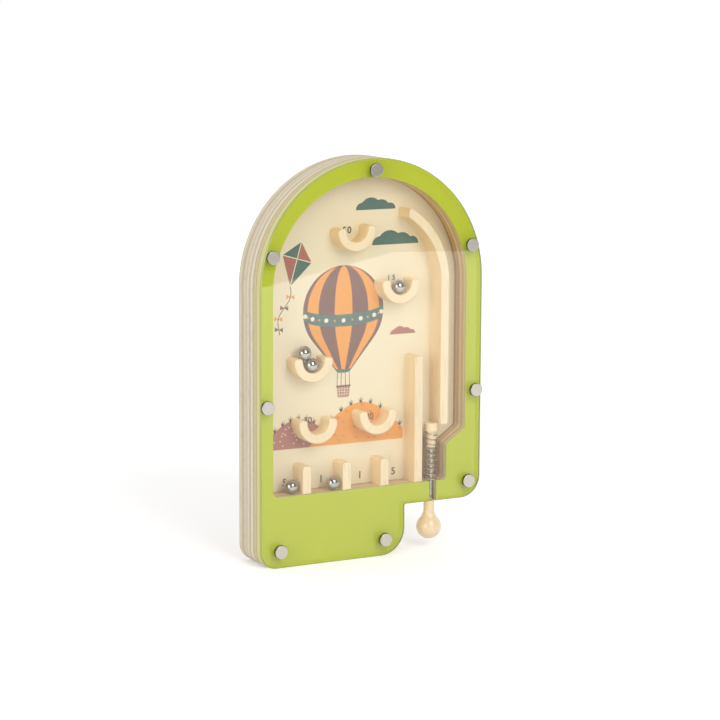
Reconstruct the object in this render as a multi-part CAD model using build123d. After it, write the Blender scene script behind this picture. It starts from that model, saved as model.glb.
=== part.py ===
from build123d import *
import math
import os

os.makedirs("parts", exist_ok=True)

# Sizes are millimetres. Seen from the front, x runs right from the board's left edge and z up from
# the table. Depths run back from the front face of the clear cover.

# Outline that the boards and the cover share
width = 188.5
height = 302.6
crown_right_of_centre = 0.75
foot_width = 122.3
notch_height = 38.3
foot_left_radius = 13.5
foot_right_radius = 20.0
notch_inner_radius = 1.5
notch_outer_radius = 16.5

# Layers, from the front to the back
cover_thickness = 6.0
face_ring_thickness = 4.0
frame_thickness = 14.0
base_thickness = 13.0
cover_edge_chamfer = 1.1
back_edge_round = 0.8

# Opening in the face ring and the frame
side_border = 12.25
top_border = 14.55
bottom_border = 14.8
opening_corner_radius = 4.5
pocket_corner_radius = 3.0
chute_corner_radius = 4.0
chute_height = 28.0
chute_angle = 34.5

# Balls
ball_diameter = 11.0
ball_seat_gap = 0.2
ball_touch_gap = 0.1

# Wooden strips on the playfield
strip_cover_gap = 1.2
strip_edge_round = 0.7
strip_thickness = 7.0
strip_end_round = 2.5
channel_play = 3.15
chute_play = 0.2
guide_bend_radius = 62.5
guide_bend_from_arch = 0.9
guide_tip_from_crown = 31.7
guide_end_round = 1.8
launch_lane_width = 15.3
launch_strip_height = 97.4
divider_height = 21.0
lane_1_width = 25.45
lane_2_width = 26.7
lane_3_width = 25.2

# Cups on the playfield
cup_outer_radius = 16.0
cup_inner_radius = 9.0
cup_rim_rise = 2.3
cup_cover_gap = 3.5
cup_edge_round = 1.2
cup_outer_round = 3.2
cup_inner_round = 2.0

# Cup centres: from the crown, the nearest wall or strip, and above the opening's floor
cup_1_from_crown = 11.1
cup_1_up = 195.5
cup_1_tilt = 4.5
cup_2_from_guide = 33.2
cup_2_up = 154.0
cup_3_from_wall = 35.75
cup_3_up = 99.5
cup_4_from_wall = 39.65
cup_4_up = 52.7
cup_5_from_launch_strip = 30.0
cup_5_up = 55.5

# Where the balls lie
lane_1_ball_side_gap = 1.4
lane_1_ball_cover_gap = 2.0
lane_2_ball_side_gap = 0.9
lane_2_ball_cover_gap = 0.5
cup_ball_cover_gap = 3.1

# Plunger
head_radius = 5.2
head_guide_gap = 0.4
head_cover_gap = 0.3
head_length = 6.3
head_top_up = 44.65
head_edge_round = 1.0
neck_radius = 3.7
neck_length = 12.4
rod_radius = 1.5
rod_fit = 0.03
rod_socket_depth = 10.0
knob_stop_gap = 0.3
knob_length = 31.65
knob_ball_radius = 9.65
knob_neck_radius = 4.15
knob_flare_radius = 11.4
pocket_side_gap = 5.3
slot_left_gap = 2.5
slot_right_gap = 0.6
slot_back_gap = 0.6

# Spring
spring_radius = 4.5
spring_wire = 1.0
spring_turns = 10
spring_floor_gap = 0.1
spring_head_gap = 0.3

# Studs that hold the cover
stud_head_radius = 5.2
stud_head_height = 2.4
stud_head_round = 0.5
stud_radius = 2.0
stud_length = 20.0
stud_fit = 0.05
stud_tip_gap = 0.3
cover_hole_clearance = 0.25
top_stud_inset = 8.9
arch_stud_inset = 6.5
arch_stud_rise = 16.6
side_stud_inset = 5.5
side_stud_height = 122.2
notch_stud_inset = 11.2
notch_stud_up = 13.2
foot_stud_left_inset = 16.4
foot_stud_right_inset = 17.5
foot_stud_height = 12.7

# Depths of the layers
cover_back = cover_thickness
face_ring_back = cover_back + face_ring_thickness
playfield_depth = face_ring_back + frame_thickness
board_back = playfield_depth + base_thickness
middle_depth = (board_back - stud_head_height) / 2

# Places worked out from the sizes above
crown_x = width / 2 + crown_right_of_centre
wall_left = side_border
wall_right = width - side_border
opening_top_z = height - top_border
opening_arch_z = opening_top_z - (wall_right - crown_x)
floor_z = notch_height + bottom_border
ball_radius = ball_diameter / 2
guide_right = wall_right - ball_diameter - channel_play
guide_left = guide_right - strip_thickness
launch_strip_right = guide_left - launch_lane_width
launch_strip_left = launch_strip_right - strip_thickness
plunger_x = guide_left - head_guide_gap - head_radius
plunger_depth = cover_back + head_cover_gap + head_radius
pocket_right = plunger_x + head_radius + pocket_side_gap
chute_slope = math.tan(math.radians(chute_angle))
chute_low_z = floor_z + chute_height
chute_high_z = chute_low_z + (wall_right - pocket_right) * chute_slope
ball_gate = (ball_diameter + chute_play) / math.cos(math.radians(chute_angle))
guide_end_z = chute_low_z + (guide_right - pocket_right) * chute_slope + ball_gate
guide_bend_z = opening_arch_z - guide_bend_from_arch
guide_bend_x = (guide_left + guide_right) / 2 - guide_bend_radius
guide_tip_x = crown_x + guide_tip_from_crown
divider_1_left = wall_left + lane_1_width
divider_2_left = divider_1_left + strip_thickness + lane_2_width
divider_3_left = divider_2_left + strip_thickness + lane_3_width
head_top_z = floor_z + head_top_up
head_shoulder_z = head_top_z - head_length
neck_bottom_z = head_shoulder_z - neck_length
knob_top_z = notch_height - knob_stop_gap
slot_left = plunger_x - rod_radius - slot_left_gap
slot_right = plunger_x + rod_radius + slot_right_gap
slot_back = plunger_depth + rod_radius + slot_back_gap

cup_centres = {
    "cup_1": (crown_x - cup_1_from_crown, floor_z + cup_1_up),
    "cup_2": (guide_left - cup_2_from_guide, floor_z + cup_2_up),
    "cup_3": (wall_left + cup_3_from_wall, floor_z + cup_3_up),
    "cup_4": (wall_left + cup_4_from_wall, floor_z + cup_4_up),
    "cup_5": (launch_strip_left - cup_5_from_launch_strip, floor_z + cup_5_up),
}
cup_tilts = {"cup_1": cup_1_tilt}


def front_plane(depth):
    """Plane parallel to the front at this depth, with x and z as its two directions."""
    return Plane(origin=(-width / 2, depth - middle_depth, 0), x_dir=(1, 0, 0), z_dir=(0, -1, 0))


def board(profile, front_depth, back_depth):
    """Solid with this front view, between two depths."""
    return extrude(front_plane(back_depth) * profile, amount=back_depth - front_depth)


def place(x, depth, z):
    """Location of a point given by its x, depth and height."""
    return Pos(x - width / 2, depth - middle_depth, z)


def front_edges(solid):
    """Edges round the flat face that looks to the front."""
    return solid.faces().sort_by(Axis.Y)[0].edges()


def arched_profile(corners, radii, left, right, top_z):
    """Front view with rounded corners below two quarter circles that meet at the crown."""
    left_end = (left, top_z - (crown_x - left))
    right_end = (right, top_z - (right - crown_x))
    crown = (crown_x, top_z)
    with BuildSketch() as profile:
        with BuildLine():
            FilletPolyline(left_end, *corners, right_end, radius=radii)
            TangentArc(right_end, crown, tangent=(0, 1))
            TangentArc(crown, left_end, tangent=(-1, 0))
        make_face()
    return profile.sketch


def outline():
    """Front view of the boards and the cover: arch, foot and the notch for the knob."""
    corners = [(0, 0), (foot_width, 0), (foot_width, notch_height), (width, notch_height)]
    radii = [foot_left_radius, foot_right_radius, notch_inner_radius, notch_outer_radius]
    return arched_profile(corners, radii, 0, width, height)


def opening():
    """Front view of the play chamber with the plunger's pocket and the chute that feeds it."""
    corners = [
        (wall_left, floor_z),
        (pocket_right, floor_z),
        (pocket_right, chute_low_z),
        (wall_right, chute_high_z),
    ]
    radii = [opening_corner_radius, pocket_corner_radius, chute_corner_radius, chute_corner_radius]
    return arched_profile(corners, radii, wall_left, wall_right, opening_top_z)


def rod_slot():
    """Front view of the slot that the plunger's rod runs in, through the bottom bar."""
    slot_height = bottom_border * 2
    slot_middle_z = (notch_height + floor_z) / 2
    slot = Rectangle(slot_right - slot_left, slot_height)
    return Pos((slot_left + slot_right) / 2, slot_middle_z) * slot


def stud_places():
    """Front view places of the studs, clockwise from the top."""
    return [
        (crown_x, height - top_stud_inset),
        arch_stud_place(width - crown_x, 1),
        (width - side_stud_inset, side_stud_height),
        (width - notch_stud_inset, notch_height + notch_stud_up),
        (foot_width - foot_stud_right_inset, foot_stud_height),
        (foot_stud_left_inset, foot_stud_height),
        (side_stud_inset, side_stud_height),
        arch_stud_place(crown_x, -1),
    ]


def arch_stud_place(radius, side):
    """Place of the stud beside the quarter circle with this radius, right (1) or left (-1)."""
    rise = math.radians(arch_stud_rise)
    ring = radius - arch_stud_inset
    return (crown_x + side * ring * math.cos(rise), height - radius + ring * math.sin(rise))


def stud_holes(radius, front_depth, back_depth):
    """Cylinders where the studs pass between two depths."""
    circles = [Pos(x, z) * Circle(radius) for x, z in stud_places()]
    return [board(circle, front_depth, back_depth) for circle in circles]


def clear_cover():
    sheet = board(outline(), 0, cover_back)
    sheet = chamfer(front_edges(sheet), cover_edge_chamfer)
    return sheet - stud_holes(stud_radius + cover_hole_clearance, 0, cover_back)


def face_ring():
    ring = board(outline() - opening() - rod_slot(), cover_back, face_ring_back)
    return ring - stud_holes(stud_radius + stud_fit, cover_back, face_ring_back)


def frame_ring():
    ring = board(outline() - opening(), face_ring_back, playfield_depth)
    ring -= board(rod_slot(), face_ring_back, slot_back)
    return ring - stud_holes(stud_radius + stud_fit, face_ring_back, stud_length + stud_tip_gap)


def base_board():
    panel = board(outline(), playfield_depth, board_back)
    return fillet(panel.faces().sort_by(Axis.Y)[-1].edges(), back_edge_round)


def cover_studs():
    """Cap headed studs, each a separate solid."""
    studs = []
    for x, z in stud_places():
        head = board(Pos(x, z) * Circle(stud_head_radius), -stud_head_height, 0)
        head = fillet(front_edges(head), stud_head_round)
        studs.append(head + board(Pos(x, z) * Circle(stud_radius), 0, stud_length))
    return Compound(children=studs)


def playfield_piece(profile, cover_gap, edge_round):
    """Wooden piece glued on the playfield, with its front edges eased."""
    piece = board(profile, cover_back + cover_gap, playfield_depth)
    return fillet(front_edges(piece), edge_round)


def strip(profile):
    return playfield_piece(profile, strip_cover_gap, strip_edge_round)


def cup(centre, tilt):
    """Half ring, sawn a little above its centre, with rounded tips."""
    outer_x = math.sqrt(cup_outer_radius**2 - cup_rim_rise**2)
    inner_x = math.sqrt(cup_inner_radius**2 - cup_rim_rise**2)
    outer_left, outer_right = (-outer_x, cup_rim_rise), (outer_x, cup_rim_rise)
    inner_left, inner_right = (-inner_x, cup_rim_rise), (inner_x, cup_rim_rise)
    profile = make_face(
        ThreePointArc(outer_left, (0, -cup_outer_radius), outer_right)
        + Line(outer_right, inner_right)
        + ThreePointArc(inner_right, (0, -cup_inner_radius), inner_left)
        + Line(inner_left, outer_left)
    )
    profile = fillet(by_distance_from_middle(profile)[-2:], cup_outer_round)
    profile = fillet(by_distance_from_middle(profile)[:2], cup_inner_round)
    return playfield_piece(Pos(*centre) * Rot(0, 0, tilt) * profile, cup_cover_gap, cup_edge_round)


def by_distance_from_middle(profile):
    """Corners of a profile, the ones nearest its middle line first."""
    return profile.vertices().sort_by(lambda corner: abs(corner.X))


def upright_strip(left, top_z):
    """Straight strip that stands on the opening's floor, with a rounded top."""
    tall = top_z - floor_z
    middle = (left + strip_thickness / 2, floor_z + tall / 2)
    profile = Pos(*middle) * Rectangle(strip_thickness, tall)
    profile = fillet(profile.vertices().sort_by(Axis.Y)[-2:], strip_end_round)
    return strip(profile)


def curved_guide():
    """Guide between the launch lane and the ball channel: straight leg, then an arc to the left."""
    outer = guide_arc(guide_bend_radius + strip_thickness / 2)
    inner = guide_arc(guide_bend_radius - strip_thickness / 2)
    leg = Polyline(outer @ 0, (guide_right, guide_end_z), (guide_left, guide_end_z), inner @ 0)
    profile = make_face(outer + leg + inner + Line(inner @ 1, outer @ 1))
    ends = profile.vertices().sort_by(Axis.Y)
    return strip(fillet(ends[:2] + ends[-2:], guide_end_round))


def guide_arc(radius):
    """Arc from the top of the guide's leg to its upright sawn tip."""
    sweep_angle = math.degrees(math.acos((guide_tip_x - guide_bend_x) / radius))
    return CenterArc((guide_bend_x, guide_bend_z), radius, 0, sweep_angle)


def turned(half_profile):
    """Solid of revolution about the plunger's axis from half a profile in radius and height."""
    return place(plunger_x, plunger_depth, 0) * revolve(Plane.XZ * make_face(half_profile), Axis.Z)


def rod_socket(low_z, high_z):
    """Bore that the rod sits in."""
    bore = Cylinder(rod_radius + rod_fit, high_z - low_z)
    return place(plunger_x, plunger_depth, (low_z + high_z) / 2) * bore


def plunger_head():
    """Turned dowel: the face that strikes the ball, and a neck that the spring slips over."""
    edge_low = (head_radius, head_top_z - head_edge_round)
    edge_high = (head_radius - head_edge_round, head_top_z)
    side = Polyline(
        (0, neck_bottom_z),
        (neck_radius, neck_bottom_z),
        (neck_radius, head_shoulder_z),
        (head_radius, head_shoulder_z),
        edge_low,
    )
    edge = TangentArc(edge_low, edge_high, tangent=(0, 1))
    face = Polyline(edge_high, (0, head_top_z), (0, neck_bottom_z))
    return turned(side + edge + face) - rod_socket(neck_bottom_z, neck_bottom_z + rod_socket_depth)


def plunger_rod():
    low_z = knob_top_z - rod_socket_depth
    high_z = neck_bottom_z + rod_socket_depth
    rod = Cylinder(rod_radius, high_z - low_z)
    return place(plunger_x, plunger_depth, (low_z + high_z) / 2) * rod


def plunger_knob():
    """Turned knob: a straight neck that flares into a ball."""
    ball_z = knob_top_z - knob_length + knob_ball_radius
    joined = knob_ball_radius + knob_flare_radius
    flare_x = knob_neck_radius + knob_flare_radius
    flare_z = ball_z + math.sqrt(joined**2 - flare_x**2)
    meet = (
        flare_x * knob_ball_radius / joined,
        ball_z + (flare_z - ball_z) * knob_ball_radius / joined,
    )
    ball_bottom = (0, ball_z - knob_ball_radius)
    neck = Polyline(
        ball_bottom, (0, knob_top_z), (knob_neck_radius, knob_top_z), (knob_neck_radius, flare_z)
    )
    flare = TangentArc((knob_neck_radius, flare_z), meet, tangent=(0, -1))
    round_end = ThreePointArc(meet, (knob_ball_radius, ball_z), ball_bottom)
    socket = rod_socket(knob_top_z - rod_socket_depth, knob_top_z)
    return turned(neck + flare + round_end) - socket


def spring_nodes():
    """Points and directions along the spring, half a turn apart, level at both ends."""
    low_z = floor_z + spring_floor_gap + spring_wire / 2
    high_z = head_shoulder_z - spring_head_gap - spring_wire / 2
    half_turns = 2 * spring_turns
    half_pitch = (high_z - low_z) / (half_turns - 1)
    nodes = []
    z = low_z
    for k in range(half_turns + 1):
        at_end = k in (0, half_turns)
        side = 1 if k % 2 == 0 else -1
        climb = 0 if at_end else half_pitch / (math.pi * spring_radius)
        nodes.append((Vector(side * spring_radius, 0, z), Vector(0, side, climb).normalized()))
        z += half_pitch / 2 if k in (0, half_turns - 1) else half_pitch
    return nodes


def biarc_joint(start, start_dir, end, end_dir):
    """Point where two equal tangent arcs meet between two ends with given directions."""
    gap = end - start
    dirs = start_dir + end_dir
    spread = 2 * (1 - start_dir.dot(end_dir))
    along = gap.dot(dirs)
    reach = (-along + math.sqrt(along**2 + spread * gap.dot(gap))) / spread
    return (start + start_dir * reach + end - end_dir * reach) * 0.5, reach


def plunger_spring():
    """Round wire on tangent arcs, one unbroken tube with a straight end at each side."""
    nodes = spring_nodes()
    first, first_dir = nodes[0]
    last, last_dir = nodes[-1]
    pieces = [Line(first - first_dir * spring_wire, first)]
    for (start, start_dir), (end, end_dir) in zip(nodes, nodes[1:]):
        joint, reach = biarc_joint(start, start_dir, end, end_dir)
        joint_dir = (joint - start - start_dir * reach).normalized()
        pieces.append(TangentArc(start, joint, tangent=start_dir))
        pieces.append(TangentArc(joint, end, tangent=joint_dir))
    pieces.append(Line(last, last + last_dir * spring_wire))
    path = Wire(pieces)
    section = Plane(origin=path @ 0, z_dir=path % 0) * Circle(spring_wire / 2)
    report_least_gap(path)
    return place(plunger_x, plunger_depth, 0) * sweep(section, path=path)


def report_least_gap(path):
    """Print the least gap between the tube's own turns, measured on points of its centre line."""
    steps_per_turn = 24
    count = steps_per_turn * spring_turns
    points = [path @ (k / count) for k in range(count + 1)]
    gaps = [
        (a - b).length - spring_wire
        for k, a in enumerate(points)
        for b in points[k + steps_per_turn // 2 :]
    ]
    print("spring: least gap between its turns", round(min(gaps), 2))


def ball(x, depth, z):
    return place(x, depth, z) * Sphere(ball_radius)


def balls():
    """One ball in cup 2, two in cup 3, one in each of the first two lanes."""
    cup_depth = cover_back + cup_ball_cover_gap + ball_radius
    lane_1_depth = cover_back + lane_1_ball_cover_gap + ball_radius
    lane_2_depth = cover_back + lane_2_ball_cover_gap + ball_radius
    seat_drop = cup_inner_radius - ball_radius - ball_seat_gap
    cup_2_x, cup_2_z = cup_centres["cup_2"]
    cup_3_x, cup_3_z = cup_centres["cup_3"]
    upper_x, upper_z = upper_ball_place(seat_drop)
    lane_1_x = divider_1_left - lane_1_ball_side_gap - ball_radius
    lane_2_x = divider_2_left - lane_2_ball_side_gap - ball_radius
    lane_z = floor_z + ball_radius + ball_seat_gap
    return {
        "ball_1": ball(cup_2_x, cup_depth, cup_2_z - seat_drop),
        "ball_2": ball(cup_3_x, cup_depth, cup_3_z - seat_drop),
        "ball_3": ball(cup_3_x + upper_x, cup_depth, cup_3_z + upper_z),
        "ball_4": ball(lane_1_x, lane_1_depth, lane_z),
        "ball_5": ball(lane_2_x, lane_2_depth, lane_z),
    }


def upper_ball_place(seat_drop):
    """Where a ball lies on the cup's left tip and on the ball below, from the cup's centre."""
    tip_z = cup_rim_rise - cup_inner_round
    tip_x = -math.sqrt((cup_inner_radius + cup_inner_round) ** 2 - tip_z**2)
    tip_rise = tip_z + seat_drop
    to_tip = math.hypot(tip_x, tip_rise)
    from_tip = cup_inner_round + ball_radius + ball_touch_gap
    from_ball = ball_diameter + ball_touch_gap
    cosine = (from_ball**2 + to_tip**2 - from_tip**2) / (2 * from_ball * to_tip)
    angle = math.atan2(tip_rise, tip_x) - math.acos(cosine)
    return from_ball * math.cos(angle), from_ball * math.sin(angle) - seat_drop


divider_top_z = floor_z + divider_height
sub_parts = {
    "base_board": base_board(),
    "frame_ring": frame_ring(),
    "face_ring": face_ring(),
    "clear_cover": clear_cover(),
    "cover_studs": cover_studs(),
    "lane_divider_1": upright_strip(divider_1_left, divider_top_z),
    "lane_divider_2": upright_strip(divider_2_left, divider_top_z),
    "lane_divider_3": upright_strip(divider_3_left, divider_top_z),
    "launch_lane_strip": upright_strip(launch_strip_left, floor_z + launch_strip_height),
    "curved_guide": curved_guide(),
    "plunger_head": plunger_head(),
    "plunger_rod": plunger_rod(),
    "plunger_knob": plunger_knob(),
    "plunger_spring": plunger_spring(),
}
sub_parts.update(
    {name: cup(centre, cup_tilts.get(name, 0)) for name, centre in cup_centres.items()}
)
sub_parts.update(balls())

for name, shape in sub_parts.items():
    export_step(shape, f"parts/{name}.step")
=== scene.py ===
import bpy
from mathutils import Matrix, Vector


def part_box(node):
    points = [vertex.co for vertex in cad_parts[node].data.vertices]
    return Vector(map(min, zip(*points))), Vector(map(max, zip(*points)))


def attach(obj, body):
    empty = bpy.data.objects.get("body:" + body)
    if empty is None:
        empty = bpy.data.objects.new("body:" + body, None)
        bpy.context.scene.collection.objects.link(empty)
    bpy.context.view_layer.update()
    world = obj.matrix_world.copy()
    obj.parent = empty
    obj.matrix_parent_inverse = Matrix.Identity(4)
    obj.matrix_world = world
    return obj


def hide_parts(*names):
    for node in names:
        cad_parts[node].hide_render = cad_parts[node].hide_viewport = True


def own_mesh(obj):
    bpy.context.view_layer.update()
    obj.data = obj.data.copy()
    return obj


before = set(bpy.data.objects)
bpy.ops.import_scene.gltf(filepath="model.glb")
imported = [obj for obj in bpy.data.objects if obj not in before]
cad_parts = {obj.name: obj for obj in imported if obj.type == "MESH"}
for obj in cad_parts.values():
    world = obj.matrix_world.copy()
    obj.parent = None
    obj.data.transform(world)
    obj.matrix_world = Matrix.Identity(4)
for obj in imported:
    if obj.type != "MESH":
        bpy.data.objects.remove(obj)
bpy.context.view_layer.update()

import math

import bmesh
import bpy
from mathutils import Matrix, Vector

MM = 0.001
BOARD_LOW, BOARD_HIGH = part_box("base_board")
COVER_LOW, COVER_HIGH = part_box("clear_cover")
PLAYFIELD = BOARD_LOW.y
BACK = BOARD_HIGH.y
CHAMBER_MIDDLE = (0.0, 0.0, 0.16)

# Colours, linear
PLUM = (0.215, 0.105, 0.085)
ORANGE = (0.87, 0.36, 0.065)
TEAL = (0.105, 0.185, 0.160)
ROSE = (0.44, 0.17, 0.13)
MILK = (0.87, 0.78, 0.62)
INK = (0.13, 0.095, 0.07)
GREEN = (0.48, 0.535, 0.034)
CREAM = (0.83, 0.73, 0.54)
WHITE = (1.0, 1.0, 1.0)

# Raw edges: pale layer, dark layer and glue line
BOARD_EDGE = (0.84, 0.755, 0.60), (0.50, 0.41, 0.27), (0.40, 0.30, 0.20)
PAINT_EDGE = (0.74, 0.65, 0.36), (0.52, 0.42, 0.18), (0.34, 0.26, 0.11)

# Painted light on the boards: warm bounce light on the chamber's walls, shade where the walls meet
# the playfield, shade on the board behind the spring; then the veneer on the back
INNER_WALL_PAINTED_BOUNCE = (1.0, 0.85, 0.62)
CORNER_PAINTED_SHADE = (0.74, 0.68, 0.58)
POCKET_PAINTED_SHADE = (0.44, 0.29, 0.16)
VENEER = (0.74, 0.58, 0.38)
VENEER_BANDS = (0.52, 0.38, 0.22)
VENEER_PORES = (0.30, 0.20, 0.11)


def place(x, z, y):
    """Point in metres from millimetres right of the board's left edge and above the table."""
    return Vector((BOARD_LOW.x + x * MM, y, z * MM))


# Node helpers


def add(tree, kind, inputs=None, **settings):
    """A shader node with its settings, and its inputs given as values or as sockets to link."""
    node = tree.nodes.new("ShaderNode" + kind)
    for name, value in settings.items():
        setattr(node, name, value)
    for name, value in (inputs or {}).items():
        put(tree, node.inputs[name], value)
    return node


def put(tree, socket, value):
    """Link a socket or set a plain value; a colour gets its full alpha."""
    if isinstance(value, bpy.types.NodeSocket):
        tree.links.new(value, socket)
    elif isinstance(value, tuple) and len(value) == 3 and socket.type == "RGBA":
        socket.default_value = (*value, 1.0)
    else:
        socket.default_value = value


def math_node(tree, operation, first, second=0.0):
    """Result of a calculation with two numbers."""
    node = add(tree, "Math", operation=operation)
    put(tree, node.inputs[0], first)
    put(tree, node.inputs[1], second)
    return node.outputs[0]


def vector_node(tree, operation, first, second=(0.0, 0.0, 0.0)):
    """Outputs of a calculation with two vectors: Vector, or Value where it gives a number."""
    node = add(tree, "VectorMath", operation=operation)
    put(tree, node.inputs[0], first)
    put(tree, node.inputs[1], second)
    return node.outputs


def mix_colour(tree, factor, first, second, blend="MIX"):
    """First colour where the factor is 0, second colour where it is 1."""
    node = add(tree, "Mix", data_type="RGBA", blend_type=blend)
    put(tree, node.inputs["Factor"], factor)
    put(tree, node.inputs[6], first)
    put(tree, node.inputs[7], second)
    return node.outputs[2]


def lay_over(tree, mask, strength, under, over, blend="MIX"):
    """Colour laid over another where the mask says, at part strength."""
    return mix_colour(tree, math_node(tree, "MULTIPLY", mask, strength), under, over, blend)


def ramp(tree, factor, stops, interpolation="LINEAR"):
    """Colour ramp whose stops are pairs of position and grey level."""
    node = add(tree, "ValToRGB", {"Fac": factor})
    band = node.color_ramp
    band.interpolation = interpolation
    while len(band.elements) < len(stops):
        band.elements.new(1.0)
    for element, (position, level) in zip(band.elements, stops):
        element.position = position
        element.color = (level, level, level, 1.0)
    return node.outputs["Color"]


def new_group(name, inputs, outputs):
    """Empty shader group with named sockets: (name, type, default value)."""
    tree = bpy.data.node_groups.new(name, "ShaderNodeTree")
    for label, kind, default in inputs:
        socket = tree.interface.new_socket(label, in_out="INPUT", socket_type="NodeSocket" + kind)
        if default is not None:
            socket.default_value = default
    for label, kind in outputs:
        tree.interface.new_socket(label, in_out="OUTPUT", socket_type="NodeSocket" + kind)
    source = tree.nodes.new("NodeGroupInput")
    target = tree.nodes.new("NodeGroupOutput")
    return tree, source.outputs, target.inputs


def use_group(tree, group, **values):
    """Outputs of a shared effect, placed with its own values."""
    node = tree.nodes.new("ShaderNodeGroup")
    node.node_tree = group
    for name, value in values.items():
        put(tree, node.inputs[name], value)
    return node.outputs


def new_material(name):
    """Material with a Principled shader: the material, its tree, the shader and the output."""
    material = bpy.data.materials.new(name)
    material.use_nodes = True
    tree = material.node_tree
    tree.nodes.clear()
    shader = add(tree, "BsdfPrincipled")
    output = add(tree, "OutputMaterial")
    tree.links.new(shader.outputs[0], output.inputs[0])
    return material, tree, shader, output


def bump(tree, shader, height, distance):
    """Fine relief, whose full height is the distance in metres."""
    node = add(tree, "Bump", {"Height": height, "Distance": distance})
    tree.links.new(node.outputs[0], shader.inputs["Normal"])


def add_smudges(tree, roughness, handled, strength):
    """Roughness that rises a little where hands have been."""
    rise = math_node(tree, "MULTIPLY", handled["Smudge"], strength)
    return math_node(tree, "ADD", roughness, rise)


def object_point(tree, scale=(1, 1, 1)):
    """Point on the piece in Object coordinates, squeezed or stretched by the scale."""
    coordinates = add(tree, "TexCoord").outputs["Object"]
    mapping = add(tree, "Mapping", {"Vector": coordinates})
    mapping.inputs["Scale"].default_value = scale
    return mapping.outputs[0]


# Shared effects


def make_grain():
    """Streaks that run along Z: broad bands, fine fibres and short dark pores."""
    tree, given, made = new_group(
        "grain",
        [("Vector", "Vector", None), ("Scale", "Float", 90.0), ("Stretch", "Float", 0.06)],
        [("Bands", "Float"), ("Fibres", "Float"), ("Pores", "Float"), ("Height", "Float")],
    )
    along = add(tree, "CombineXYZ", {"X": 1.0, "Y": 1.0, "Z": given["Stretch"]}).outputs[0]
    point = vector_node(tree, "MULTIPLY", given["Vector"], along)["Vector"]
    broad = math_node(tree, "MULTIPLY", given["Scale"], 0.55)
    fine = math_node(tree, "MULTIPLY", given["Scale"], 14.0)
    bands = add(tree, "TexNoise", {"Vector": point, "Scale": broad, "Detail": 3.0, "Distortion": 0.6})
    fibres = add(tree, "TexNoise", {"Vector": point, "Scale": fine, "Detail": 5.0, "Roughness": 0.7})
    pores = add(tree, "TexNoise", {"Vector": point, "Scale": fine, "Detail": 1.0})
    made_bands = ramp(tree, bands.outputs["Fac"], [(0.35, 0.0), (0.65, 1.0)])
    made_fibres = ramp(tree, fibres.outputs["Fac"], [(0.3, 0.0), (0.72, 1.0)])
    made_pores = ramp(tree, pores.outputs["Fac"], [(0.64, 0.0), (0.72, 1.0)])
    put(tree, made["Bands"], made_bands)
    put(tree, made["Fibres"], made_fibres)
    put(tree, made["Pores"], made_pores)
    lifted = math_node(tree, "SUBTRACT", made_fibres, made_pores)
    put(tree, made["Height"], lifted)
    return tree


# Layers of the boards: depth behind the cover's front in millimetres, and how dark the layer is.
# A glue line lies in front of each layer that is less dark than GLUE_BEFORE.
BOARD_LAYERS = [
    (0.0, 0.2),
    (5.9, 0.85),
    (7.6, 0.15),
    (9.3, 0.75),
    (11.0, 1.0),
    (12.7, 0.0),
    (16.0, 0.75),
    (19.3, 0.0),
    (21.1, 0.35),
    (22.8, 0.65),
    (24.5, 0.35),
    (27.8, 0.9),
    (31.2, 0.5),
    (32.9, 0.1),
    (34.6, 0.6),
]
GLUE_BEFORE = 0.2
GLUE_HALF_WIDTH = 0.25
LAYER_WOBBLE = 1.2 * MM


def make_layers():
    """Layers that show on a board's edge: how dark each one is, and the glue lines."""
    tree, given, made = new_group(
        "layers", [("Vector", "Vector", None)], [("Cross", "Float"), ("Glue", "Float")]
    )
    wobble = add(tree, "TexNoise", {"Vector": given["Vector"], "Scale": 55.0, "Detail": 2.0})
    centred = math_node(tree, "SUBTRACT", wobble.outputs["Fac"], 0.5)
    shift = math_node(tree, "MULTIPLY", centred, LAYER_WOBBLE)
    depth = add(tree, "SeparateXYZ", {"Vector": given["Vector"]}).outputs["Y"]
    moved = math_node(tree, "ADD", depth, shift)
    share = add(tree, "MapRange", {"Value": moved, "From Min": COVER_LOW.y, "From Max": BACK})
    total = (BACK - COVER_LOW.y) / MM
    cross = [(start / total, tone) for start, tone in BOARD_LAYERS]
    glue = [(0.0, 0.0)]
    for start, tone in BOARD_LAYERS[1:]:
        if tone < GLUE_BEFORE:
            for offset, strength in ((-GLUE_HALF_WIDTH, 0.0), (0.0, 1.0), (GLUE_HALF_WIDTH, 0.0)):
                glue.append(((start + offset) / total, strength))
    put(tree, made["Cross"], ramp(tree, share.outputs[0], cross, "CONSTANT"))
    put(tree, made["Glue"], ramp(tree, share.outputs[0], glue))
    return tree


def make_handling():
    """Slow changes of tone and faint smudges from hands."""
    tree, given, made = new_group(
        "handling",
        [("Vector", "Vector", None), ("Scale", "Float", 25.0)],
        [("Tone", "Float"), ("Smudge", "Float")],
    )
    slow = add(tree, "TexNoise", {"Vector": given["Vector"], "Scale": given["Scale"], "Detail": 2.0})
    quick = math_node(tree, "MULTIPLY", given["Scale"], 3.0)
    smudge = add(tree, "TexNoise", {"Vector": given["Vector"], "Scale": quick, "Detail": 4.0})
    put(tree, made["Tone"], slow.outputs["Fac"])
    put(tree, made["Smudge"], ramp(tree, smudge.outputs["Fac"], [(0.45, 0.0), (0.75, 1.0)]))
    return tree


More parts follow.
